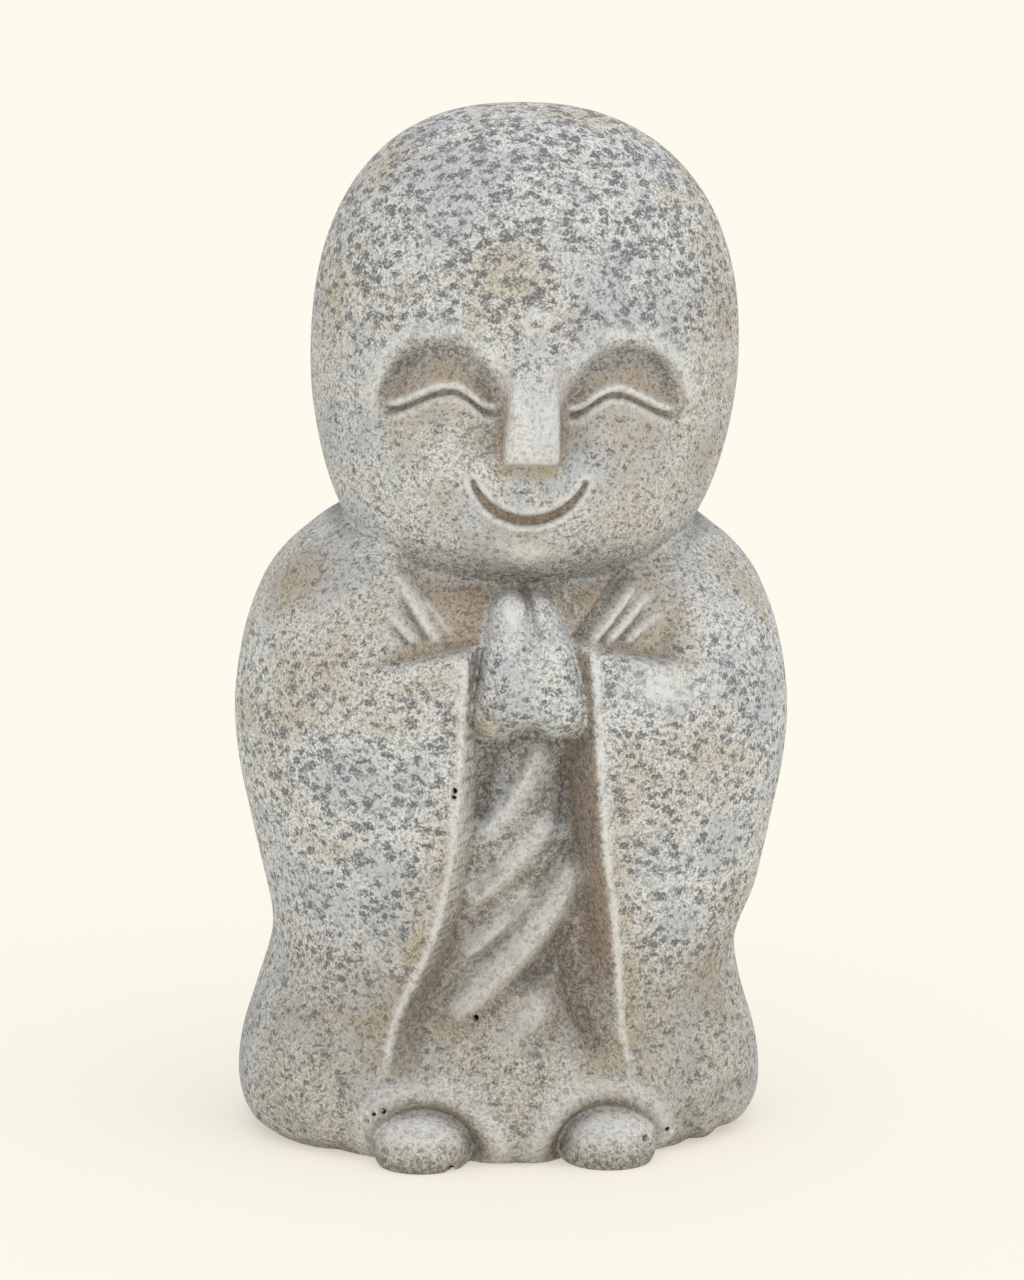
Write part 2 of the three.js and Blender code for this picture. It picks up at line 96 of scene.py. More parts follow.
def floorMaterial(colour, glow):
    # partly lit by itself, so that shadows on it stay faint
    material = bpy.data.materials.new("paleFloor")
    material.use_nodes = True
    shader = material.node_tree.nodes["Principled BSDF"]
    shader.inputs["Base Color"].default_value = (*(c * (1 - glow) for c in colour), 1)
    shader.inputs["Emission Color"].default_value = (*colour, 1)
    shader.inputs["Emission Strength"].default_value = glow
    shader.inputs["Roughness"].default_value = 1
    shader.inputs["Specular IOR Level"].default_value = 0
    return material


def makeStudio():
    # the room lights the stone with even white and shows itself as cream; room and lamp together light the
    # open floor to that same cream, so no horizon shows
    roomLight = 1 - studio["lampPower"] * Vector(studio["lampFrom"]).normalized().z / math.pi
    world = bpy.data.worlds.new("paleRoom")
    world.use_nodes = True
    tree = world.node_tree
    seen = tree.nodes.new("ShaderNodeBackground")
    seen.inputs["Color"].default_value = (*studio["cream"], 1)
    unseen = tree.nodes["Background"]
    unseen.inputs["Color"].default_value = (1, 1, 1, 1)
    unseen.inputs["Strength"].default_value = roomLight
    chooser = tree.nodes.new("ShaderNodeMixShader")
    tree.links.new(tree.nodes.new("ShaderNodeLightPath").outputs["Is Camera Ray"], chooser.inputs[0])
    tree.links.new(unseen.outputs[0], chooser.inputs[1])
    tree.links.new(seen.outputs[0], chooser.inputs[2])
    tree.links.new(chooser.outputs[0], tree.nodes["World Output"].inputs["Surface"])
    bpy.context.scene.world = world

    floorMesh = bpy.data.meshes.new("floor")
    floorShape = bmesh.new()
    bmesh.ops.create_grid(floorShape, x_segments=1, y_segments=1, size=studio["floorSize"])
    floorShape.to_mesh(floorMesh)
    floorShape.free()
    floor = bpy.data.objects.new("floor", floorMesh)
    floor.location.z = boxLow.z
    floorMesh.materials.append(floorMaterial(studio["cream"], studio["floorGlow"]))
    bpy.context.collection.objects.link(floor)

    softLamp()
    bpy.context.scene.view_settings.view_transform = "Standard"


makeCamera()
makeStudio()
print("studio: camera, floor and lights stand")


# ---- small tools for the carving; all of it works on whole arrays of points at once, in millimetres

def ease(low, high, value):
    t = np.clip((value - low) / (high - low), 0, 1)
    return t * t * (3 - 2 * t)


def bell(offset, width):
    return np.exp(-(offset / width) ** 2)


def softMin(a, b, fillet):
    h = np.maximum(fillet - np.abs(a - b), 0) / fillet
    return np.minimum(a, b) - h * h * fillet / 4


def softMax(a, b, fillet):
    return -softMin(-a, -b, fillet)


def alongCurve(pairs, height):
    # smooth value against height through a few (height, value) pairs
    heights = np.array([p[0] for p in pairs], float)
    values = np.array([p[1] for p in pairs], float)
    slopes = np.gradient(values, heights)
    slopes[1:-1] = (values[2:] - values[:-2]) / (heights[2:] - heights[:-2])
    h = np.clip(height, heights[0], heights[-1])
    i = np.clip(np.searchsorted(heights, h, side="right") - 1, 0, len(pairs) - 2)
    span = heights[i + 1] - heights[i]
    t = (h - heights[i]) / span
    rise = (values[i + 1] - values[i]) * t * t * (3 - 2 * t)
    return rise + values[i] + slopes[i] * span * t * (1 - t) ** 2 + slopes[i + 1] * span * t * t * (t - 1)


def foldHeight(x, z, line):
    # rounded ridge (positive) or furrow (negative) along a bowed line, fading at both ends
    (x0, z0), (x1, z1) = line["start"], line["end"]
    length = math.hypot(x1 - x0, z1 - z0)
    ux, uz = (x1 - x0) / length, (z1 - z0) / length
    along = ((x - x0) * ux + (z - z0) * uz) / length
    t = np.clip(along, 0, 1)
    side = (z - z0) * ux - (x - x0) * uz - line["bow"] * 4 * t * (1 - t)
    fade = ease(-0.12, 0.12, along) * (1 - ease(0.88, 1.12, along))
    width = np.where(side > 0, line["width"] * line.get("lap", 1), line["width"])    # a lap is gentler above
    return line["height"] * bell(side, width) * fade


# ---- head

head = {
    "x": [(165, 2.2), (190, 2.7), (207, 3.2), (228, 3.6), (262, 3.2), (284, 2.2), (302, 0.6)],
    "y": -1, "z": 228, "halfWidth": 62.4, "halfDepth": 57,
    "up": 72, "down": 70, "planPower": 2.12, "upPower": 2.34, "downPower": 2.03,
    "chinPower": 3.4, "chinFrom": -40,      # the full chin grows towards the front
    "turn": math.radians(1.6), "roll": math.radians(1.2),      # the face looks and leans a little to one side
}
face = {"z": 215}                 # height that the face turns and rolls about
socket = {
    "x": 26.2, "z": 213.5, "halfWidth": 18.6, "height": 20.8, "rim": 0.24, "depth": 5,
    "bottom": 196, "full": 225.5,
}
lidSwell = {"x": 26, "z": 220, "halfWidth": 14, "halfHeight": 6, "height": 2}
eyelid = {"inner": 10.6, "outer": 40.6, "crest": 22.8, "z": 212.8, "rise": 5.8}
lidEdge = {"height": 1, "above": 1.5, "width": 1.1, "groove": 1.5, "below": 0.3, "grooveWidth": 0.9}
cheekRim = {"height": 0.7, "below": 2.3, "width": 1.2}
nose = {
    "top": 231, "tip": 199.6, "bridge": 6, "foot": 7.6, "height": 6, "bevel": 1.6,
    "wallTop": 6, "wallTip": 1.8, "wallFrom": 227, "wallTo": 216,     # its sides are steeper towards the tip
}
besideNose = {"depth": 2.6, "out": 3, "width": 5.5, "from": 196, "full": 206, "fade": 216, "top": 228}
mouth = {
    "z": 199.8, "radius": 16.9, "reach": math.radians(69), "halfWidth": 1.75, "depth": 2.2,
    "lip": 0.5, "lipWidth": 1.1,
}
urna = {"z": 238.2, "radius": 3.6, "rim": 1.6, "height": 0.7}
chin = {"z": 173.2, "halfWidth": 8, "halfHeight": 4, "height": 1.5}


def facePlace(x, y, z):
    c, s = math.cos(head["turn"]), math.sin(head["turn"])
    x, y = x - alongCurve(head["x"], z), y - head["y"]
    faceX, faceY = x * c - y * s, x * s + y * c
    return faceX - (z - face["z"]) * head["roll"], faceY, z + faceX * head["roll"]


def lidLine(side):
    inner, outer = eyelid["crest"] - eyelid["inner"], eyelid["outer"] - eyelid["crest"]
    reach = np.where(side < eyelid["crest"], inner, outer)
    t = np.clip((side - eyelid["crest"]) / reach, -1, 1)
    fade = ease(eyelid["inner"] - 2, eyelid["inner"] + 1.5, side)
    fade = fade * (1 - ease(eyelid["outer"] - 3, eyelid["outer"] + 1.5, side))
    return eyelid["z"] + eyelid["rise"] * (0.5 + 0.5 * np.cos(math.pi * t)), fade


def eyelidRelief(side, z):
    line, fade = lidLine(side)
    edge = lidEdge["height"] * bell(z - line - lidEdge["above"], lidEdge["width"])
    groove = lidEdge["groove"] * bell(z - line + lidEdge["below"], lidEdge["grooveWidth"])
    rim = cheekRim["height"] * bell(z - line + cheekRim["below"], cheekRim["width"])
    return fade * (edge - groove + rim)


def browArch(side, z):
    # 1 at the brow's arch, less inside the socket
    across = (side - socket["x"]) / socket["halfWidth"]
    return np.hypot(across, np.maximum(z - socket["z"], 0) / socket["height"])


def socketHollow(side, z):
    # steep at the brow's arch, fading out on the cheek
    deep = ease(socket["bottom"], socket["full"], z)
    return deep * (1 - ease(1 - socket["rim"], 1, browArch(side, z)))


def besideNoseHollow(side, z):
    beside = bell(side - noseHalf(z) - besideNose["out"], besideNose["width"])
    beside = beside * ease(besideNose["from"], besideNose["full"], z)
    return beside * (1 - ease(besideNose["fade"], besideNose["top"], z))


def noseHalf(z):
    return nose["bridge"] + (nose["foot"] - nose["bridge"]) * ease(nose["top"], nose["tip"], z)


def onNose(side, z):
    steep = ease(nose["wallFrom"], nose["wallTo"], z)
    wall = nose["wallTop"] + (nose["wallTip"] - nose["wallTop"]) * steep
    across = 1 - ease(noseHalf(z) - wall * 0.4, noseHalf(z) + wall * 0.6, side)
    return across * ease(nose["tip"] - nose["bevel"], nose["tip"] + 0.2, z)


def mouthGroove(x, z):
    # how far inside the groove a point is, and its distance outside
    angle = np.clip(np.arctan2(x, mouth["z"] - z), -mouth["reach"], mouth["reach"])
    away = np.hypot(x - mouth["radius"] * np.sin(angle), z - mouth["z"] + mouth["radius"] * np.cos(angle))
    half = mouth["halfWidth"] * (1 - 0.55 * (angle / mouth["reach"]) ** 2)
    return (1 - ease(0.35, 1.2, away / half)) * (1 - 0.4 * (angle / mouth["reach"]) ** 2), away - half


def faceRelief(x, z):
    side = np.abs(x)
    lidAcross = (side - lidSwell["x"]) / lidSwell["halfWidth"]
    swell = np.hypot(lidAcross, (z - lidSwell["z"]) / lidSwell["halfHeight"])
    hollows = lidSwell["height"] * bell(swell, 1) - socket["depth"] * socketHollow(side, z)
    hollows = (hollows - besideNose["depth"] * besideNoseHollow(side, z)) * (1 - onNose(side, z))
    noseRise = nose["height"] * onNose(side, z) * ease(nose["top"], nose["tip"] + 6, z)
    inMouth, fromMouth = mouthGroove(x, z)
    lips = mouth["lip"] * bell(fromMouth - mouth["lipWidth"], mouth["lipWidth"]) - mouth["depth"] * inMouth
    fromChin = np.hypot(x / chin["halfWidth"], (z - chin["z"]) / chin["halfHeight"])
    chinSwell = chin["height"] * bell(fromChin, 1)
    fromUrna = np.hypot(x, z - urna["z"])
    urnaSwell = urna["height"] * (1 - ease(urna["radius"] - urna["rim"], urna["radius"], fromUrna))
    return noseRise + hollows + eyelidRelief(side, z) + lips + chinSwell + urnaSwell


def headDepth(x, y, z):
    faceX, faceY, faceZ = facePlace(x, y, z)
    above = z > head["z"]
    lower = head["downPower"] + (head["chinPower"] - head["downPower"]) * ease(0, head["chinFrom"], faceY)
    power = np.where(above, head["upPower"], lower)
    p = head["planPower"]
    plan = ((np.abs(faceX) / head["halfWidth"]) ** p + (np.abs(faceY) / head["halfDepth"]) ** p) ** (1 / p)
    rise = np.abs(z - head["z"]) / np.where(above, head["up"], head["down"])
    gauge = np.maximum((plan ** power + rise ** power) ** (1 / power), 1e-6)
    reach = np.sqrt(faceX ** 2 + faceY ** 2 + (z - head["z"]) ** 2)
    return reach * (1 - 1 / gauge) - faceRelief(faceX, faceZ) * ease(0, -head["halfDepth"] * 0.45, faceY)


# ---- robe and sleeves: one loft, wide at the sleeves, drawn in at the waist, flared at the hem

sleeveHalf, waistHalf, hemHalf = 81.4, 70.6, 77.4
front, back = 61, 59
robe = {
    "planPower": 2.3, "top": 196, "hemShift": -3.6, "shiftFrom": 38, "shiftTo": 74,
    "halfWidth": [
        (0, hemHalf - 8), (4, hemHalf - 3), (12, hemHalf), (26, hemHalf - 1), (42, hemHalf - 5.4),
        (55, waistHalf), (66, waistHalf + 0.8), (90, sleeveHalf - 5), (110, sleeveHalf - 1),
        (127, sleeveHalf), (145, sleeveHalf - 2.5), (158, sleeveHalf - 6.6), (168, sleeveHalf - 12),
        (177, sleeveHalf - 21), (186, sleeveHalf - 36), (198, 2)],
    "frontDepth": [
        (0, front - 10), (4, front - 6), (11, front - 3.5), (24, front - 3.5), (40, front - 5),
        (56, front - 4), (76, front - 2.5), (100, front - 0.5), (122, front), (145, front - 1.5),
        (157, front - 6.5), (168, front - 14), (180, front - 24), (198, 2)],
    "backDepth": [
        (0, back - 8), (4, back - 4), (12, back - 1), (26, back - 1.5), (42, back - 5), (56, back - 6.5),
        (76, back - 4), (100, back - 1), (125, back), (145, back - 2), (160, back - 7), (172, back - 14),
        (184, back - 25), (198, 2)],
}
channel = {
    "left": [(22, 36), (42, 31.6), (53, 28), (66, 24.4), (89, 20), (108, 18.2), (128, 17), (150, 16)],
    "right": [(22, 33), (36, 30), (46, 28.6), (66, 24.4), (85, 21.5), (108, 19.5), (128, 18.4), (150, 17)],
    "depth": [
        (20, 0), (30, 3.5), (42, 8), (58, 11.5), (78, 14), (100, 15.2), (120, 14.4), (132, 10), (150, 7)],
    "wallTop": (3.6, 6.6), "wallBottom": (8, 8.5),     # the left and right walls' slopes
    "brow": 0.7,                     # how far outside its edge a wall begins to turn in
    # the sleeves' edges stand a little proud, all the way down to their tips
    "lip": 1.1, "lipOut": 1.2, "lipWidth": 2.1, "lipFrom": 26, "lipTo": 40,
    "ceilingFrom": 124, "ceilingTo": 132,     # the robe's folds end under the hands
}
chest = {
    # the collar's inner edges
    "left": ((-24, 147.5), (-34.9, 168.6)), "right": ((14.3, 146.4), (30.1, 167.2)),
    "middle": 2, "step": 1.6, "depth": 2.4, "shelf": 9.5,
    "halfWidth": 31, "outer": 48, "top": 160, "fade": 184,
}
forearm = {"z": 147.6, "fall": 0.2, "step": 3, "level": 14, "blend": 6}
valley = {"start": (31, 30), "end": (76, 62), "bow": -2, "width": 9, "height": -2.6}
# folds between the sleeves, each from its lower end on the figure's right to its upper end on its left
robeFolds = [
    {"start": (-13, 93), "end": (4.1, 119), "bow": -2.2, "width": 4.4, "height": 3.4, "lap": 0.5},
    {"start": (-15.6, 74), "end": (7.5, 96), "bow": -1.6, "width": 2.4, "height": 3.2, "lap": 1.8},
    {"start": (-15.5, 58), "end": (3, 77), "bow": -1.2, "width": 2, "height": 2.2, "lap": 2},
    {"start": (-15, 42), "end": (14.4, 81), "bow": -2.8, "width": 2.6, "height": 4.2, "lap": 1.9},
    {"start": (-7.5, 27), "end": (9.5, 46), "bow": -1, "width": 3.6, "height": 2, "lap": 1.6},
    {"start": (-12.6, 97), "end": (-8.8, 116), "bow": 0.8, "width": 2.2, "height": -2.6},
    {"start": (-15, 77), "end": (-8, 84), "bow": -0.4, "width": 1.9, "height": -2.4},
    {"start": (11.4, 96), "end": (12.6, 116), "bow": -0.4, "width": 2.2, "height": -2.6},
    {"start": (-4, 68.5), "end": (13.6, 90), "bow": -1.2, "width": 2, "height": -3},
    {"start": (-13, 56), "end": (0, 71), "bow": -0.8, "width": 1.5, "height": -1.4},
    {"start": (2, 49), "end": (13.8, 66), "bow": -0.8, "width": 2.6, "height": -3.4},
    {"start": (-21, 45), "end": (-13.4, 51), "bow": 0.4, "width": 2, "height": -2.4},
    {"start": (24.4, 30.6), "end": (13.6, 60), "bow": 1.6, "width": 2.2, "height": -3.2},
]
# pleats of the collar, fanned from the shoulders to the wrists
collarFolds = [
    {"start": (-20.5, 150.5), "end": (-28, 160), "bow": 0, "width": 1.3, "height": 1.3},
    {"start": (-24.3, 148.5), "end": (-35.6, 167.4), "bow": 0.5, "width": 1.7, "height": 3},
    {"start": (-27.4, 148.6), "end": (-35, 160.5), "bow": 0.3, "width": 0.9, "height": -1.8},
    {"start": (-30.5, 148), "end": (-40.5, 160.7), "bow": 0.4, "width": 1.4, "height": 2.7},
    {"start": (-33, 147.4), "end": (-40, 155), "bow": 0, "width": 0.9, "height": -1.5},
    {"start": (-35.6, 147.2), "end": (-43, 154.5), "bow": 0, "width": 1.3, "height": 1.8},
    {"start": (-40, 157.6), "end": (-44.7, 168.1), "bow": 0, "width": 1.4, "height": -1.8},
    {"start": (13.4, 146), "end": (30, 167.4), "bow": -0.4, "width": 1.5, "height": -3.6},
    {"start": (18.8, 148), "end": (31.6, 162.4), "bow": -0.3, "width": 1.3, "height": 2.4},
    {"start": (21.2, 147.8), "end": (30, 157.6), "bow": -0.2, "width": 0.8, "height": -1.4},
    {"start": (23.8, 148.2), "end": (36, 160.6), "bow": -0.3, "width": 1.2, "height": 2.2},
    {"start": (26.6, 147.8), "end": (34.4, 155.6), "bow": -0.2, "width": 0.8, "height": -1.4},
    {"start": (29.2, 147.8), "end": (39.4, 156.2), "bow": -0.2, "width": 1.2, "height": 1.8},
    {"start": (40, 144), "end": (45.4, 157), "bow": 1.6, "width": 1.8, "height": -1.8},
    {"start": (12.3, 159.5), "end": (12.3, 163), "bow": 0.2, "width": 0.9, "height": 1},
    {"start": (14.9, 155), "end": (14.9, 158.4), "bow": 0, "width": 0.9, "height": 0.9},
    {"start": (8.6, 157.6), "end": (9, 160.4), "bow": 0, "width": 0.9, "height": 0.7},
]
skirt = {
    "count": 7, "height": 0.8, "top": 60,
    "seamZ": 56, "seamRise": 20, "seamWidth": 10, "seamDepth": 1.2,    # the seam climbs towards the back
}
hemNotches = [
    {"start": (53.5, -3), "end": (51, 12), "bow": 0, "width": 2.8, "height": -2.6},
    {"start": (63, -2), "end": (61, 16), "bow": 0, "width": 2.6, "height": -2},
    {"start": (-50, -3), "end": (-47, 11), "bow": 0, "width": 3.6, "height": -1.8},
    {"start": (-6, 12), "end": (-14, 34), "bow": 1.5, "width": 4, "height": -1.4},
]
# the hem's bulge between the feet
apron = {"x": 2, "halfWidth": 15, "z": 8, "halfHeight": 20, "height": 4.6}


def sideOf(x, z, line):
    # distance of a point to the right of a line that runs upwards
    (x0, z0), (x1, z1) = line
    return ((x - x0) * (z1 - z0) - (z - z0) * (x1 - x0)) / math.hypot(x1 - x0, z1 - z0)


def pastSleeveEdge(x, z):
    # distance outwards from the edge of the opening between the sleeves
    left, right = alongCurve(channel["left"], z), alongCurve(channel["right"], z)
    return np.where(x < 0, -x - left, x - right)


def wallWidth(x, z):
    top = np.where(x < 0, *channel["wallTop"])
    bottom = np.where(x < 0, *channel["wallBottom"])
    return bottom + (top - bottom) * ease(30, 100, z)


def openingAt(x, z):
    return 1 - ease(-wallWidth(x, z), channel["brow"], pastSleeveEdge(x, z))


def sleeveTop(x):
    return forearm["z"] - forearm["fall"] * np.maximum(np.abs(x - chest["middle"]) - forearm["level"], 0)


def chestAt(x, z):
    # 1 over the recessed chest above the forearms
    above = ease(-forearm["step"] / 2, forearm["step"] / 2, z - sleeveTop(x))
    across = 1 - ease(chest["halfWidth"], chest["outer"], np.abs(x - chest["middle"]))
    return above * across * (1 - ease(chest["top"], chest["fade"], z))


def insideCollar(x, z):
    inside = ease(0, chest["step"], sideOf(x, z, chest["left"]))
    return inside * ease(0, chest["step"], -sideOf(x, z, chest["right"])) * chestAt(x, z)


def robeRelief(x, z):
    belowWrist = 1 - ease(forearm["z"] - forearm["blend"], forearm["z"], z)
    lip = channel["lip"] * bell(pastSleeveEdge(x, z) - channel["lipOut"], channel["lipWidth"])
    lip = lip * belowWrist * ease(channel["lipFrom"], channel["lipTo"], z)
    opening = openingAt(x, z)
    cutBack = alongCurve(channel["depth"], z) * opening
    shelf = chest["shelf"] * chestAt(x, z) + chest["depth"] * insideCollar(x, z)
    bulge = np.hypot((x - apron["x"]) / apron["halfWidth"], (z - apron["z"]) / apron["halfHeight"])
    relief = lip - np.maximum(cutBack, shelf) + foldHeight(np.abs(x), z, valley)
    relief = relief + apron["height"] * bell(bulge, 1)
    onFloor = ease(0.6, 1, opening) * (1 - ease(channel["ceilingFrom"], channel["ceilingTo"], z))
    for line in robeFolds:
        relief = relief + foldHeight(x, z, line) * onFloor
    for line in collarFolds:
        relief = relief + foldHeight(x, z, line) * chestAt(x, z)
    for line in hemNotches:
        relief = relief + foldHeight(x, z, line)
    return relief


def robeDepth(x, y, z):
    x = x - robe["hemShift"] * (1 - ease(robe["shiftFrom"], robe["shiftTo"], z))
    facing = ease(6, -14, y)
    half = alongCurve(robe["halfWidth"], z)
    depth = np.where(y < 0, alongCurve(robe["frontDepth"], z), alongCurve(robe["backDepth"], z))
    p = robe["planPower"]
    gauge = np.maximum(((np.abs(x) / half) ** p + (np.abs(y) / depth) ** p) ** (1 / p), 1e-6)
    around = np.arctan2(x, -y)
    ripple = skirt["height"] * np.cos(skirt["count"] * around) * (1 - ease(8, skirt["top"], z))
    seamZ = skirt["seamZ"] + skirt["seamRise"] * ease(0.5, 1, np.abs(around) / math.pi)
    seam = skirt["seamDepth"] * bell(z - seamZ, skirt["seamWidth"])
    relief = robeRelief(x, z) * facing + (ripple - seam) * (1 - facing)
    return np.maximum(np.hypot(x, y) * (1 - 1 / gauge) - relief, z - robe["top"])


# ---- hands: one loft with a cleft down the front, deepest between the fingertips

hands = {
    "x": [(121.5, 0.9), (147, 0.9), (163, -0.7)], "y": -44, "power": 2.5, "bottom": 121.5, "top": 162,
    "halfWidth": [
        (121.5, 18), (127, 20.5), (134, 18.6), (141, 15.6), (147, 13.2), (153, 11), (158, 9.2), (163, 7.4)],
    "halfDepth": [(121.5, 15), (127, 18.2), (134, 19.4), (141, 19), (148, 16.8), (155, 14), (163, 9.6)],
    "round": 3.4, "cuspHeight": 3.4, "cuspWidth": 5, "tipDepth": 2.4, "tipWidth": 1.8,
    "cleft": [(121.5, 2.4), (126, 1.4), (134, 0.9), (144, 1.5), (152, 2.6), (163, 4.2)],
    "cleftX": [(121.5, -0.6), (140, 0.4), (152, 1), (163, 1.3)],
    "cleftWidth": [(121.5, 5), (130, 4.2), (150, 2), (163, 1.3)],
}


def handsDepth(x, y, z):
    x, y = x - alongCurve(hands["x"], z), y - hands["y"]
    half, deep = alongCurve(hands["halfWidth"], z), alongCurve(hands["halfDepth"], z)
    p = hands["power"]
    gauge = np.maximum(((np.abs(x) / half) ** p + (np.abs(y) / deep) ** p) ** (1 / p), 1e-6)
    fromCleft = x - alongCurve(hands["cleftX"], z)
    cleft = alongCurve(hands["cleft"], z) * bell(fromCleft, alongCurve(hands["cleftWidth"], z))
    sides = np.hypot(x, y) * (1 - 1 / gauge) + cleft * (y < 0)
    # the underside rises to a cusp in the middle, and the fingertips are two domes
    lowEdge = hands["bottom"] + hands["cuspHeight"] * bell(fromCleft, hands["cuspWidth"]) - z
    highEdge = z - hands["top"] + hands["tipDepth"] * bell(fromCleft, hands["tipWidth"])
    return softMax(softMax(sides, lowEdge, hands["round"] * 2), highEdge, hands["round"] * 1.4)


# ---- feet: rounded toes under arches in the hem

foot = {"left": -29.6, "right": 23.6, "y": -52.5, "z": 4.5, "radii": (13.8, 14.5, 10)}
hemArch = {"y": -60, "z": 1, "radii": (17.6, 13, 17), "lip": 1.7, "lipOut": 3.2, "lipWidth": 5.6}
pinholeDepth = 3
pinholes = [
    {"at": (-40.5, 15.4), "radius": 1}, {"at": (-43.2, 14.4), "radius": 0.8},
    {"at": (-45, 12.4), "radius": 0.7}, {"at": (-68.7, 43.4), "radius": 0.9},
    {"at": (-22, 0.5), "radius": 1.4}, {"at": (33.3, 7.8), "radius": 0.9},
    {"at": (-13.7, 40.6), "radius": 0.9}, {"at": (50.5, 10.3), "radius": 0.9},
    {"at": (41.1, 7.5), "radius": 0.8}, {"at": (-20.3, 108), "radius": 0.8},
    {"at": (-20.5, 106.2), "radius": 0.8},
]


def eggDepth(x, y, z, egg):
    middle = (foot["left"] + foot["right"]) / 2
    off = (np.where(x < middle, x - foot["left"], x - foot["right"]), y - egg["y"], z - egg["z"])
    gauge = np.sqrt(sum((v / r) ** 2 for v, r in zip(off, egg["radii"])))
    return np.sqrt(sum(v * v for v in off)) * (1 - 1 / np.maximum(gauge, 1e-6))


def pinholePits(x, y, z):
    pits = np.zeros_like(x)
    for hole in pinholes:
        away = np.hypot(x - hole["at"][0], z - hole["at"][1])
        pits = np.maximum(pits, 1 - ease(0.5 * hole["radius"], 1.2 * hole["radius"], away))
    return pits * (y < -30)


fillets = {"arch": 1.6, "toes": 1.2, "wrists": 2.6, "neck": 3}


def stoneDepth(points):
    # negative inside the stone, about as many millimetres as the point lies from the surface
    x, y, z = points[:, 0], points[:, 1], points[:, 2]
    archGap = eggDepth(x, y, z, hemArch)
    lip = hemArch["lip"] * bell(archGap - hemArch["lipOut"], hemArch["lipWidth"])
    lip = lip * ease(0, -30, y) * (1 - ease(18, 30, z))
    depth = softMax(robeDepth(x, y, z) - lip, -archGap, fillets["arch"])
    depth = softMin(depth, eggDepth(x, y, z, foot), fillets["toes"]) + pinholeDepth * pinholePits(x, y, z)
    depth = softMin(depth, handsDepth(x, y, z), fillets["wrists"])
    return softMin(depth, headDepth(x, y, z), fillets["neck"])


# ---- skin: level rays from a spine feel for the outermost surface, and a fan of rays closes the crown

skin = {
    "columns": 500, "coarse": 1,
    "frontCrowding": 1.5, "crownStart": 252, "crownRings": 44, "triangles": 190000,
    "farOut": 100, "steps": 46, "stride": 0.6,      # each ray walks in from far outside the stone
    # gap between rings down to each height: finest over the face and the hands
    "bands": [(244, 0.8), (166, 0.45), (119, 0.55), (28, 0.75), (0, 0.6)],
}


def skinMesh():
    s = np.linspace(-1, 1, skin["columns"], endpoint=False)
    crowd = skin["frontCrowding"]
    angles = math.pi * (s + crowd * s ** 3) / (1 + crowd)
    tilts = np.linspace(0, math.pi / 2, skin["crownRings"] + 1)[1:]
    level, top = [], skin["crownStart"]
    for bottom, gap in skin["bands"]:
        rings = round((top - bottom) / (gap * skin["coarse"]))
        level.append(np.linspace(top, bottom, rings + 1)[1:])
        top = bottom
    level = np.concatenate(level)
    ringZ = np.concatenate([np.full(len(tilts), skin["crownStart"]), level])
    out = np.concatenate([np.sin(tilts), np.ones(len(level))])
    up = np.concatenate([np.cos(tilts), np.zeros(len(level))])
    ways = np.stack([np.outer(out, np.sin(angles)), -np.outer(out, np.cos(angles)),
                     np.outer(up, np.ones_like(angles))], -1).reshape(-1, 3)
    starts = np.zeros_like(ways)
    starts[:, 1] = head["y"]
    starts[:, 2] = np.repeat(ringZ, len(angles))
    ways = np.vstack([[0, 0, 1], ways])
    starts = np.vstack([[0, head["y"], skin["crownStart"]], starts])
    reach = np.full(len(ways), float(skin["farOut"]))
    for step in range(skin["steps"]):
        reach -= np.clip(stoneDepth(starts + ways * reach[:, None]) * skin["stride"], -3, 5)
        reach = np.maximum(reach, 0.5)
    points = np.vstack([starts + ways * reach[:, None], [0, head["y"], 0]])
    count, rings = len(angles), len(ringZ)
    ring = 1 + np.arange(rings)[:, None] * count
    here = np.arange(count)
    beside = (here + 1) % count
    a, b = ring[:-1] + here, ring[:-1] + beside
    c, d = ring[1:] + beside, ring[1:] + here
    quads = np.stack([a, d, c, b], -1).reshape(-1, 4)
    faces = quads.tolist()
    faces += [(0, 1 + i, 1 + (i + 1) % count) for i in range(count)]
    last = 1 + (rings - 1) * count
    faces += [(last + i, len(points) - 1, last + (i + 1) % count) for i in range(count)]
    mesh = bpy.data.meshes.new("statueSkin")
    mesh.from_pydata(points.tolist(), [], faces)
    mesh.update()
    return mesh


def applyModifiers(piece):
    bpy.context.view_layer.update()
    evaluated = piece.evaluated_get(bpy.context.evaluated_depsgraph_get())
    finished = bpy.data.meshes.new_from_object(evaluated)
    old = piece.data
    piece.modifiers.clear()
    piece.data = finished
    bpy.data.meshes.remove(old)


def readPoints(mesh):
    flat = np.empty(len(mesh.vertices) * 3, np.float32)
    mesh.vertices.foreach_get("co", flat)
    return flat.reshape(-1, 3).astype(float)


def writePoints(mesh, points):
    mesh.vertices.foreach_set("co", points.astype(np.float32).ravel())
    mesh.update()


def carveStatue():
    statue = bpy.data.objects.new("jizoStone", skinMesh())
    bpy.context.collection.objects.link(statue)
    print("skin: %d points" % len(statue.data.vertices))
    thin = statue.modifiers.new("thin", "DECIMATE")
    triangles = sum(len(f.vertices) - 2 for f in statue.data.polygons)
    thin.ratio = min(1, skin["triangles"] / triangles)
    thin.use_collapse_triangulate = True
    applyModifiers(statue)
    print("skin: %d triangles" % len(statue.data.polygons))
    return statue


def placeInFrame(statue):
    # the paint is marked while the points are still in the carving's own millimetres
    points = readPoints(statue.data)
    paintStatue(statue.data, points)
    points *= mm
    low, high = points.min(0), points.max(0)
    points += np.array(boxMiddle) - (low + high) / 2
    points[:, 2] += boxLow.z - points[:, 2].min()
    writePoints(statue.data, points)
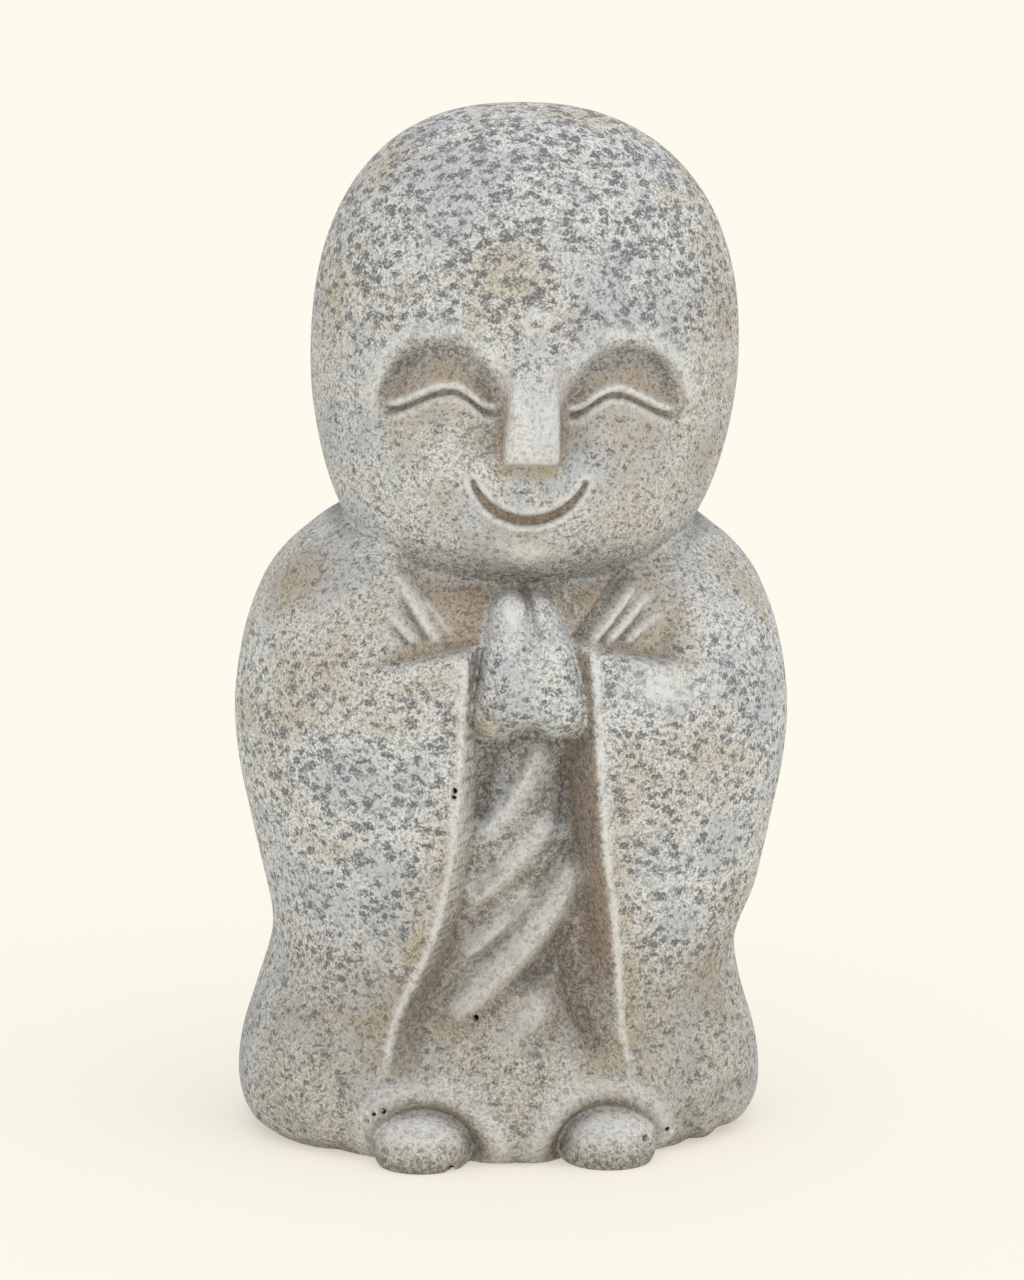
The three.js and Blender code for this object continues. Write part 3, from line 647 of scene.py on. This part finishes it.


# ---- where the paint and the painted shade gather: six coats, marked on the points in the carving's own millimetres

# the wash coat is the brown-grey wash that stays in hollows and also painted shade in hollows, creases and
# under overhangs, with a painted contact shadow along the base; chalk the pale rubbed stone, marks the tool's
# dark strokes and pits the near-black painted shade inside the pinholes
coats = ("washAndShade", "rust", "ochre", "chalk", "marks", "pits")
stains = [
    {"at": (-4, -50, 250), "size": 11, "amount": 0.9}, {"at": (10, -52, 236), "size": 6, "amount": 0.5},
    {"at": (-52, -25, 245), "size": 11, "amount": 0.7}, {"at": (53, -30, 240), "size": 13, "amount": 0.7},
    {"at": (-62, -25, 163), "size": 12, "amount": 1}, {"at": (-45, -40, 150), "size": 10, "amount": 0.6},
    {"at": (40, -45, 150), "size": 10, "amount": 0.6}, {"at": (30, -48, 206), "size": 8, "amount": 0.9},
    {"at": (-32, -46, 206), "size": 7, "amount": 0.5}, {"at": (-26, -50, 62), "size": 9, "amount": 0.8},
    {"at": (-29, -50, 78), "size": 7, "amount": 0.7}, {"at": (27, -50, 96), "size": 9, "amount": 0.5},
    {"at": (-18, -48, 40), "size": 8, "amount": 0.8}, {"at": (25, -50, 30), "size": 12, "amount": 0.6},
    {"at": (-45, -45, 36), "size": 11, "amount": 0.5}, {"at": (0, -55, 174), "size": 9, "amount": 0.8},
    {"at": (-14, -60, 124), "size": 7, "amount": 0.8}, {"at": (30, -50, 187), "size": 12, "amount": 0.5},
    {"at": (-38, -20, 283), "size": 13, "amount": 0.6}, {"at": (48, -35, 200), "size": 12, "amount": 0.8},
    {"at": (-22, -50, 190), "size": 7, "amount": 0.5}, {"at": (30, -10, 150), "size": 20, "amount": 0.3},
    {"at": (62, -30, 170), "size": 8, "amount": 0.5}, {"at": (56, -35, 50), "size": 13, "amount": 0.7},
    {"at": (-5, -50, 22), "size": 10, "amount": 0.5}, {"at": (46, -45, 112), "size": 14, "amount": 0.5},
]


def coverMore(coat, *amounts):
    for amount in amounts:
        coat = coat + np.clip(amount, 0, 1) * (1 - coat)
    return coat


def paintFace(x, y, z, coat):
    faceX, faceY, faceZ = facePlace(x, y, z)
    side = np.abs(faceX)
    here = ease(0, -26, faceY) * ease(158, 162, z)
    arch, hollow = browArch(side, faceZ), socketHollow(side, faceZ) * (1 - onNose(side, faceZ))
    line, fade = lidLine(side)
    aboveLid = faceZ - line
    # painted shade under the brow's arch, at the top of each socket
    underBrowShade = bell(arch - 0.86, 0.26) * ease(socket["z"] - 6, socket["z"] + 6, faceZ)
    inMouth, fromMouth = mouthGroove(faceX, faceZ)
    wall = bell(side - noseHalf(faceZ) - 1.2, 2.2) * ease(196, 203, faceZ) * (1 - ease(222, 229, faceZ))
    lidGroove = bell(aboveLid + 0.3, 0.95) * fade
    # wash coat: wash with painted shade in the sockets, most under the brow, in the lid grooves, beside the
    # nose and in the mouth
    coat["washAndShade"] = coverMore(
        coat["washAndShade"], here * hollow * (0.12 + 0.8 * underBrowShade), here * 0.6 * lidGroove,
        here * 0.55 * besideNoseHollow(side, faceZ) * (1 - onNose(side, faceZ)), here * 0.45 * inMouth)
    coat["rust"] = coverMore(
        coat["rust"], here * hollow * 0.5 * bell(aboveLid - 5, 3.4), here * 0.7 * wall, here * 0.9 * inMouth,
        here * 0.4 * lidGroove)
    underNose = bell(faceZ - 196.6, 2.6) * (1 - ease(7, 11, side))
    coat["ochre"] = coverMore(coat["ochre"], here * underNose, here * 0.8 * hollow * (1 - underBrowShade))
    browRim = bell(arch - 1.07, 0.11) * ease(socket["z"] - 2, socket["z"] + 5, faceZ)
    coat["chalk"] = coverMore(
        coat["chalk"], here * 0.5 * browRim, here * 0.9 * bell(aboveLid - 1.7, 1) * fade,
        here * 0.5 * bell(aboveLid + 2.6, 1.2) * fade, here * 0.7 * bell(fromMouth - 0.9, 0.9),
        here * 0.58 * onNose(side, faceZ) * (1 - ease(212, 228, faceZ)),
        here * 0.8 * bell(np.hypot(faceX / 8, (z - chin["z"]) / 4), 1),
        here * 0.6 * bell(np.hypot(faceX, faceZ - urna["z"]) - 3, 1.2))


def underLap(x, z, line):
    # the shadowed foot along a lapped fold's steep side
    (x0, z0), (x1, z1) = line["start"], line["end"]
    reach = 1.8 * line["width"] / math.hypot(x1 - x0, z1 - z0)
    foot = {**line, "lap": 1, "width": 0.9 * line["width"], "height": 1}
    return foldHeight(x - reach * (z1 - z0), z + reach * (x1 - x0), foot)


def paintFolds(x, z, lines):
    # dark marks the furrows and a painted shadow along the steep side of each lapped fold; light marks the
    # ridges
    dark, light = np.zeros_like(x), np.zeros_like(x)
    for line in lines:
        amount = foldHeight(x, z, line) / 2.2
        dark, light = np.maximum(dark, -amount), np.maximum(light, amount)
        if "lap" in line:
            dark = np.maximum(dark, 0.9 * underLap(x, z, line) * (1 - np.clip(amount, 0, 1)))
    return np.clip(dark, 0, 1), np.clip(light, 0, 1)


def paintRobe(x, y, z, offHands, coat):
    x = x - robe["hemShift"] * (1 - ease(robe["shiftFrom"], robe["shiftTo"], z))
    here = ease(-18, -30, y) * (1 - ease(172, 180, z)) * offHands
    opening, past = openingAt(x, z), pastSleeveEdge(x, z)
    below = (1 - ease(143, 147, z)) * ease(20, 34, z)
    slope = wallWidth(x, z)
    wall = ease(-slope - 1.6, -slope + 0.4, past) * (1 - ease(-0.4, 0.7, past)) * below
    dark, light = paintFolds(x, z, robeFolds)
    floor = opening * below * (1 - ease(120, 126, z)) * ease(28, 44, z)
    pleatDark, pleatLight = paintFolds(x, z, collarFolds)
    onChest, inside, side = chestAt(x, z), insideCollar(x, z), np.abs(x - chest["middle"])
    # wash coat: wash with painted shade on the opening's walls and floor, darker in the furrows and under the
    # folds' laps, at the floor's top in the shade under the hands, in the chest's pleats, and in the crease
    # just above the forearms
    coat["washAndShade"] = coverMore(
        coat["washAndShade"], here * wall * np.where(x > 0, 0.42, 0.8),
        here * floor * (0.56 + 0.44 * dark) * (1 - 0.75 * light),
        here * onChest * pleatDark * 0.75, here * floor * 0.8 * ease(106, 120, z),
        here * 0.6 * bell(z - sleeveTop(x) - 1, 1.3) * ease(14, 22, side) * (1 - ease(44, 52, side)))
    rustyWall = np.where(x > 0, ease(44, 60, z), 0.6 * (1 - ease(60, 90, z)))
    coat["rust"] = coverMore(
        coat["rust"], here * wall * rustyWall * 0.8, here * inside * 0.42,
        here * 0.5 * onChest * bell(z - 144, 5), here * floor * 0.35 * (1 - ease(70, 90, z)))
    coat["ochre"] = coverMore(
        coat["ochre"], here * 0.6 * onChest, here * floor * light * 0.5 * (1 - ease(82, 96, z)),
        here * 0.7 * bell(past - 3, 5) * below * (1 - ease(80, 120, z)), here * 0.4 * (1 - ease(38, 76, z)))
    edge = bell(past - 1.6, 1.2) * below
    coat["chalk"] = coverMore(
        coat["chalk"] * (1 - here * wall), here * edge * 0.7, here * floor * light * 0.6,
        here * onChest * pleatLight * 0.9,
        here * 0.8 * bell(np.hypot((x - 39) / 10, (z - 136) / 6), 1) * (1 - onChest))


def paintStatue(mesh, points):
    x, y, z = points[:, 0], points[:, 1], points[:, 2]
    normals = np.empty(len(points) * 3, np.float32)
    mesh.vertices.foreach_get("normal", normals)
    normals = normals.reshape(-1, 3).astype(float)
    # near and far: how shut in each point is close by and further out; from them the wash coat takes both
    # wash and painted shade in hollows and creases
    near = 1 - stoneDepth(points + normals * 2.5) / 2.5
    far = 1 - stoneDepth(points + normals * 11) / 11
    rubbed = 1 + stoneDepth(points - normals * 2.2) / 2.2
    # painted shade on the down-facing surfaces under the jaw and chin, where the overhang's shadow falls
    underside = ease(-0.3, -0.85, normals[:, 2]) * ease(156, 160, z) * (1 - ease(182, 192, z))
    coat = {name: np.zeros(len(points)) for name in coats}
    # wash coat: wash and painted shade in hollows and creases, painted shade under the jaw (less under the
    # chin's middle), darker towards the bottom, darker in a band at neck and shoulder height, painted shade
    # on the head's left- and right-facing sides
    coat["washAndShade"] = coverMore(
        coat["washAndShade"], 0.8 * ease(0.15, 0.8, near), 0.6 * ease(0.12, 0.75, far),
        0.9 * underside * (1 - 0.7 * bell(x / 9, 1) * ease(166, 172, z)), 0.34 * (1 - ease(42, 74, z)),
        0.26 * bell(z - 166, 13), 0.2 * ease(0.25, 0.9, np.abs(normals[:, 0])) * bell(z - 212, 34))
    coat["chalk"] = coverMore(coat["chalk"], 0.8 * ease(0.12, 0.6, rubbed))
    paintFace(x, y, z, coat)
    paintRobe(x, y, z, ease(0.5, 1.4, handsDepth(x, y, z)) * ease(0.5, 1.4, headDepth(x, y, z)), coat)
    tips = bell(np.linalg.norm((points - (-4.4, -58, 157)) / (3.4, 9, 5.5), axis=1), 1)
    coat["chalk"] = coverMore(coat["chalk"], 0.95 * tips)
    archGap = eggDepth(x, y, z, hemArch)
    nearArch = ease(-20, -34, y) * (1 - ease(22, 28, z))
    # painted shadow in each hem arch under its lip, over the toes, and a painted contact shadow along the
    # bottom where the stone meets the floor
    coat["washAndShade"] = coverMore(
        coat["washAndShade"], nearArch * 0.85 * bell(archGap + 0.2, 2.2), 0.9 * (1 - ease(1, 7, z)))
    coat["rust"] = coverMore(coat["rust"], nearArch * 0.4 * bell(archGap - 1, 2.6))
    # pits: near-black painted shade inside the pinholes
    coat["pits"] = pinholePits(x, y, z)
    coat["chalk"] = coverMore(coat["chalk"], nearArch * 0.4 * bell(archGap - 4.6, 3.4))
    coat["chalk"] = coverMore(coat["chalk"], 0.6 * ease(5, 11, z) * bell(eggDepth(x, y, z, foot), 1))
    for spot in stains:
        away = np.linalg.norm(points - np.array(spot["at"]), axis=1)
        coat["ochre"] = coverMore(coat["ochre"], spot["amount"] * bell(away, spot["size"]))
    facing = ease(10, -25, y)
    brow = ease(165 + 57 * facing, 262 - 22 * facing, z - 0.12 * (y + 57))
    sleeve = (1 - ease(136, 154, z)) * (0.6 + 0.4 * ease(34, 60, z))
    cheeks = facing * ease(168, 176, z) * (1 - brow)
    coat["marks"] = np.clip(0.4 + 0.6 * brow + 0.4 * sleeve - 0.05 * cheeks - 0.3 * coat["washAndShade"], 0, 1)
    for name in coats:
        layer = mesh.attributes.new(name, "FLOAT", "POINT")
        layer.data.foreach_set("value", np.clip(coat[name], 0, 1).astype(np.float32))
    print("paint: %d coats on %d points" % (len(coats), len(points)))


statue = carveStatue()
placeInFrame(statue)


# ---- stone finish

# the wash colour paints both the brown-grey wash and the painted shade; the pinholes' colour is near-black
# painted shade
stone = {
    "shade": (0.35, 0.355, 0.345), "pale": (0.53, 0.53, 0.505), "light": (0.79, 0.795, 0.775),
    "cool": (0.47, 0.495, 0.53), "speckle": (0.12, 0.13, 0.145), "washAndShade": (0.165, 0.15, 0.12),
    "rust": (0.36, 0.23, 0.14), "ochre": (0.46, 0.365, 0.205), "pit": (0.018, 0.016, 0.015),
}


class NodeDesk:
    # short calls for wiring a material
    def __init__(self, name):
        self.material = bpy.data.materials.new(name)
        self.material.use_nodes = True
        self.tree = self.material.node_tree
        self.shader = self.tree.nodes["Principled BSDF"]

    def put(self, socket, value):
        if isinstance(value, bpy.types.NodeSocket):
            self.tree.links.new(value, socket)
        elif isinstance(value, tuple) and len(value) == 3 and socket.type == "RGBA":
            socket.default_value = (*value, 1)
        else:
            socket.default_value = value

    def node(self, kind, **inputs):
        made = self.tree.nodes.new(kind)
        for name, value in inputs.items():
            self.put(made.inputs[name], value)
        return made

    def math(self, operation, a, b=0.5, clamp=False):
        made = self.tree.nodes.new("ShaderNodeMath")
        made.operation = operation
        made.use_clamp = clamp
        self.put(made.inputs[0], a)
        self.put(made.inputs[1], b)
        return made.outputs[0]

    def mix(self, amount, a, b, blend="MIX"):
        made = self.tree.nodes.new("ShaderNodeMix")
        made.data_type = "RGBA"
        made.blend_type = blend
        self.put(made.inputs[0], amount)
        self.put(made.inputs[6], a)
        self.put(made.inputs[7], b)
        return made.outputs[2]

    def noise(self, vector, size, detail=2.0, rough=0.5, distortion=0.0):
        made = self.node("ShaderNodeTexNoise", Vector=vector, Scale=1 / size, Detail=detail, Roughness=rough,
                         Distortion=distortion)
        return made.outputs["Fac"]

    def step(self, value, low, high, outLow=0.0, outHigh=1.0):
        made = self.tree.nodes.new("ShaderNodeMapRange")
        made.interpolation_type = "SMOOTHSTEP"
        for socket, v in zip(made.inputs, (value, low, high, outLow, outHigh)):
            self.put(socket, v)
        return made.outputs[0]

    def dots(self, vector, size, spread):
        # distance to the nearest of many scattered centres, in cells, less a different allowance for each
        made = self.node("ShaderNodeTexVoronoi", Vector=vector, Scale=1 / size, Randomness=1)
        apart = self.tree.nodes.new("ShaderNodeSeparateColor")
        self.put(apart.inputs[0], made.outputs["Color"])
        return self.math("ADD", made.outputs["Distance"], self.math("MULTIPLY", apart.outputs[0], spread))

    def nudged(self, vector, size, amount):
        # the same place pushed about by a small noise, so that edges run ragged
        push = self.node("ShaderNodeTexNoise", Vector=vector, Scale=1 / size, Detail=1).outputs["Color"]
        made = self.tree.nodes.new("ShaderNodeVectorMath")
        made.operation = "MULTIPLY_ADD"
        self.put(made.inputs[0], push)
        made.inputs[1].default_value = (amount, amount, amount)
        self.put(made.inputs[2], vector)
        return made.outputs[0]

    def stretched(self, vector, factors):
        made = self.tree.nodes.new("ShaderNodeVectorMath")
        made.operation = "MULTIPLY"
        self.put(made.inputs[0], vector)
        made.inputs[1].default_value = factors
        return made.outputs[0]

    def attribute(self, name):
        made = self.tree.nodes.new("ShaderNodeAttribute")
        made.attribute_name = name
        return made.outputs["Fac"]


def stoneMaterial():
    desk = NodeDesk("weatheredStone")
    place = desk.node("ShaderNodeTexCoord").outputs["Object"]
    washAndShade, rust, ochre, chalk, marks, pits = (desk.attribute(name) for name in coats)
    grain = desk.noise(place, 0.0007, 1, 0.6)
    stipple = desk.noise(place, 0.0016, 3, 0.75)
    patch = desk.noise(place, 0.030, 3, 0.55)
    cloud = desk.noise(place, 0.009, 3, 0.6)

    # ground: pale grey, grained light and dark, cooler in places
    colour = desk.mix(desk.step(grain, 0.38, 0.62), stone["pale"], stone["light"])
    colour = desk.mix(desk.step(stipple, 0.5, 0.35, 0, 0.85), colour, stone["shade"])
    colour = desk.mix(desk.step(patch, 0.48, 0.62, 0, 0.55), colour, stone["cool"])

    # ochre and rust stains, broken up by the clouds and the grain
    broken = desk.step(desk.math("ADD", cloud, desk.math("MULTIPLY", stipple, 0.6)), 0.62, 0.92, 0.45, 1)
    everywhere = desk.step(patch, 0.47, 0.36, 0, 0.5)
    stain = desk.math("MULTIPLY", desk.math("MAXIMUM", ochre, everywhere), broken)
    thin = desk.step(grain, 0.4, 0.6, 1, 0.72)
    colour = desk.mix(desk.math("MULTIPLY", stain, thin, True), colour, stone["ochre"])
    colour = desk.mix(desk.math("MULTIPLY", rust, thin), colour, stone["rust"])

    # dark tool marks: short strokes packed where the stone was hammered, and fine flecks everywhere
    ragged = desk.nudged(place, 0.0018, 0.0022)
    density = desk.math("ADD", marks, desk.math("MULTIPLY", desk.math("SUBTRACT", cloud, 0.5), 1.2))
    rough = desk.math("ADD", desk.math("MULTIPLY", stipple, 0.5), desk.math("MULTIPLY", grain, 0.5))
    flat = desk.stretched(ragged, (0.86, 0.86, 1.36))
    strokes = desk.math("ADD", desk.dots(flat, 0.0034, 0.2), rough)
    room = desk.step(density, 0, 1.2, 0.74, 1.06)
    stroke = desk.step(desk.math("SUBTRACT", room, strokes), -0.14, 0.18)
    flecks = desk.math("ADD", desk.dots(place, 0.0015, 0.2), rough)
    fleck = desk.step(desk.math("SUBTRACT", desk.step(density, 0, 1.2, 0.92, 0.97), flecks), -0.1, 0.12)
    speckle = desk.math("MAXIMUM", desk.math("MULTIPLY", stroke, 0.85), desk.math("MULTIPLY", fleck, 0.5))
    speckle = desk.math("MULTIPLY", speckle, desk.step(chalk, 0.2, 0.9, 1, 0.4))
    speckle = desk.math("MULTIPLY", speckle, desk.step(grain, 0.45, 0.65, 1, 0.55))
    colour = desk.mix(speckle, colour, stone["speckle"])

    # brown-grey wash and painted shade in the hollows, creases and undersides, with the pale grain showing
    # through
    through = desk.math("MULTIPLY", washAndShade, desk.step(stipple, 0.36, 0.6, 1.1, 0.6))
    through = desk.math("MULTIPLY", through, desk.step(grain, 0.4, 0.65, 1, 0.75), True)
    colour = desk.mix(through, colour, stone["washAndShade"])
    rubbed = desk.math("MULTIPLY", chalk, desk.step(stipple, 0.36, 0.56, 0.5, 1))
    colour = desk.mix(rubbed, colour, stone["light"])
    # near-black painted shade inside the pinholes
    colour = desk.mix(desk.step(pits, 0.25, 0.7), colour, stone["pit"])
    desk.put(desk.shader.inputs["Base Color"], colour)
    desk.put(desk.shader.inputs["Roughness"], desk.step(speckle, 0, 1, 0.84, 0.95))
    desk.shader.inputs["Specular IOR Level"].default_value = 0.3

    height = desk.math("SUBTRACT", desk.math("MULTIPLY", stipple, 0.7), desk.math("MULTIPLY", speckle, 0.6))
    bump = desk.node("ShaderNodeBump", Strength=0.6, Distance=0.0006, Height=height)
    desk.put(desk.shader.inputs["Normal"], bump.outputs["Normal"])
    return desk.material


statue.data.materials.clear()
statue.data.materials.append(stoneMaterial())
statue.data.polygons.foreach_set("use_smooth", [True] * len(statue.data.polygons))
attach(statue, "root")
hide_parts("statue")
print("finish: stone is on")
